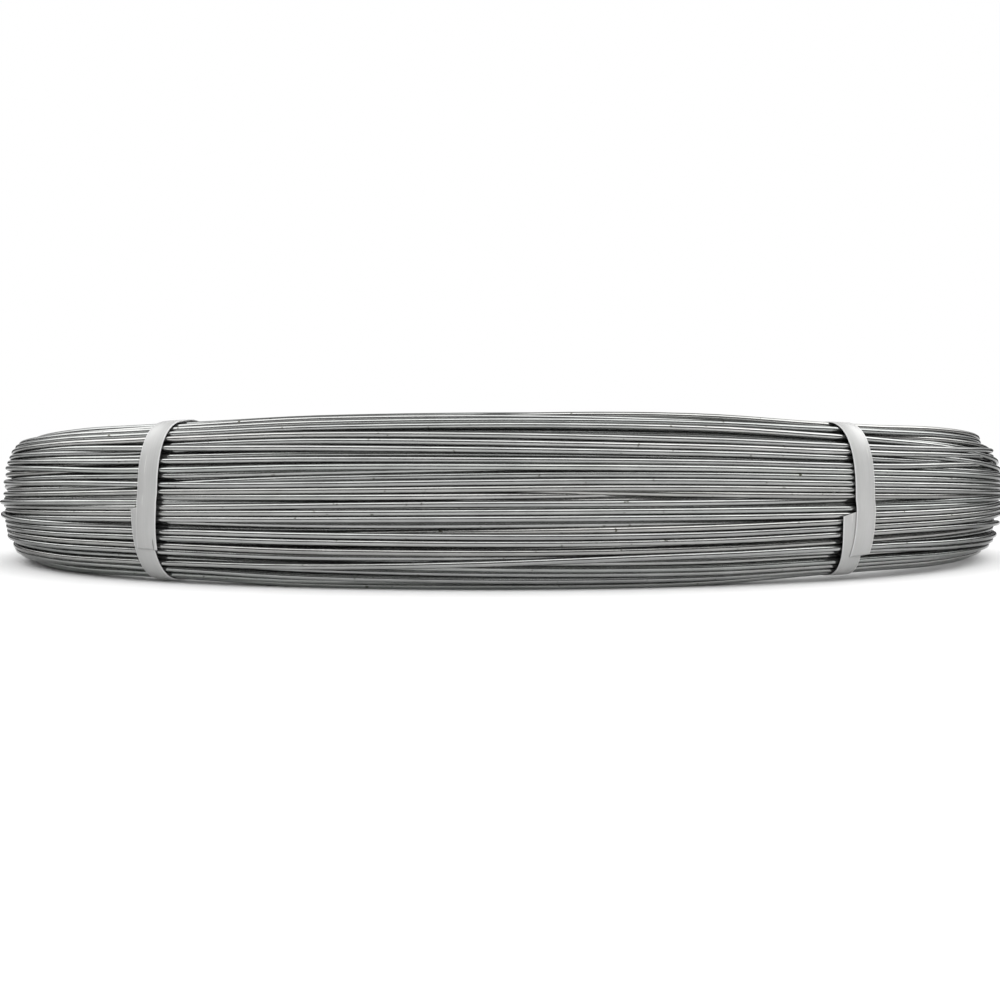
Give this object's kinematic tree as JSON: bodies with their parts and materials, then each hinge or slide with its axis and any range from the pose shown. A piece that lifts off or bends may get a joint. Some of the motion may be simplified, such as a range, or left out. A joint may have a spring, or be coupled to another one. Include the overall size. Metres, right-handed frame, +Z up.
{
  "type": "coil of wire",
  "caption": "Flat ring-shaped coil of bright galvanised wire with an open bore, lying on its end face and held by flat steel straps wrapped round its section.",
  "frame": {"origin": "centre of the coil's bore, on the plane that the coil rests on", "axes": "+Z up along the coil's axis, -Y to the front between two straps, +X to the right through a strap"},
  "size_m": [0.6809, 0.68, 0.0777],
  "materials": {
    "galvanised_wire": "bright drawn zinc coating, semi-gloss",
    "steel_strap": "smooth satin grey strip"
  },
  "bodies": {
    "root": {"wire_coil": "galvanised_wire", "strap_right": "steel_strap", "strap_back_right": "steel_strap", "strap_back_left": "steel_strap", "strap_left": "steel_strap", "strap_front_left": "steel_strap", "strap_front_right": "steel_strap"}
  },
  "joints": []
}
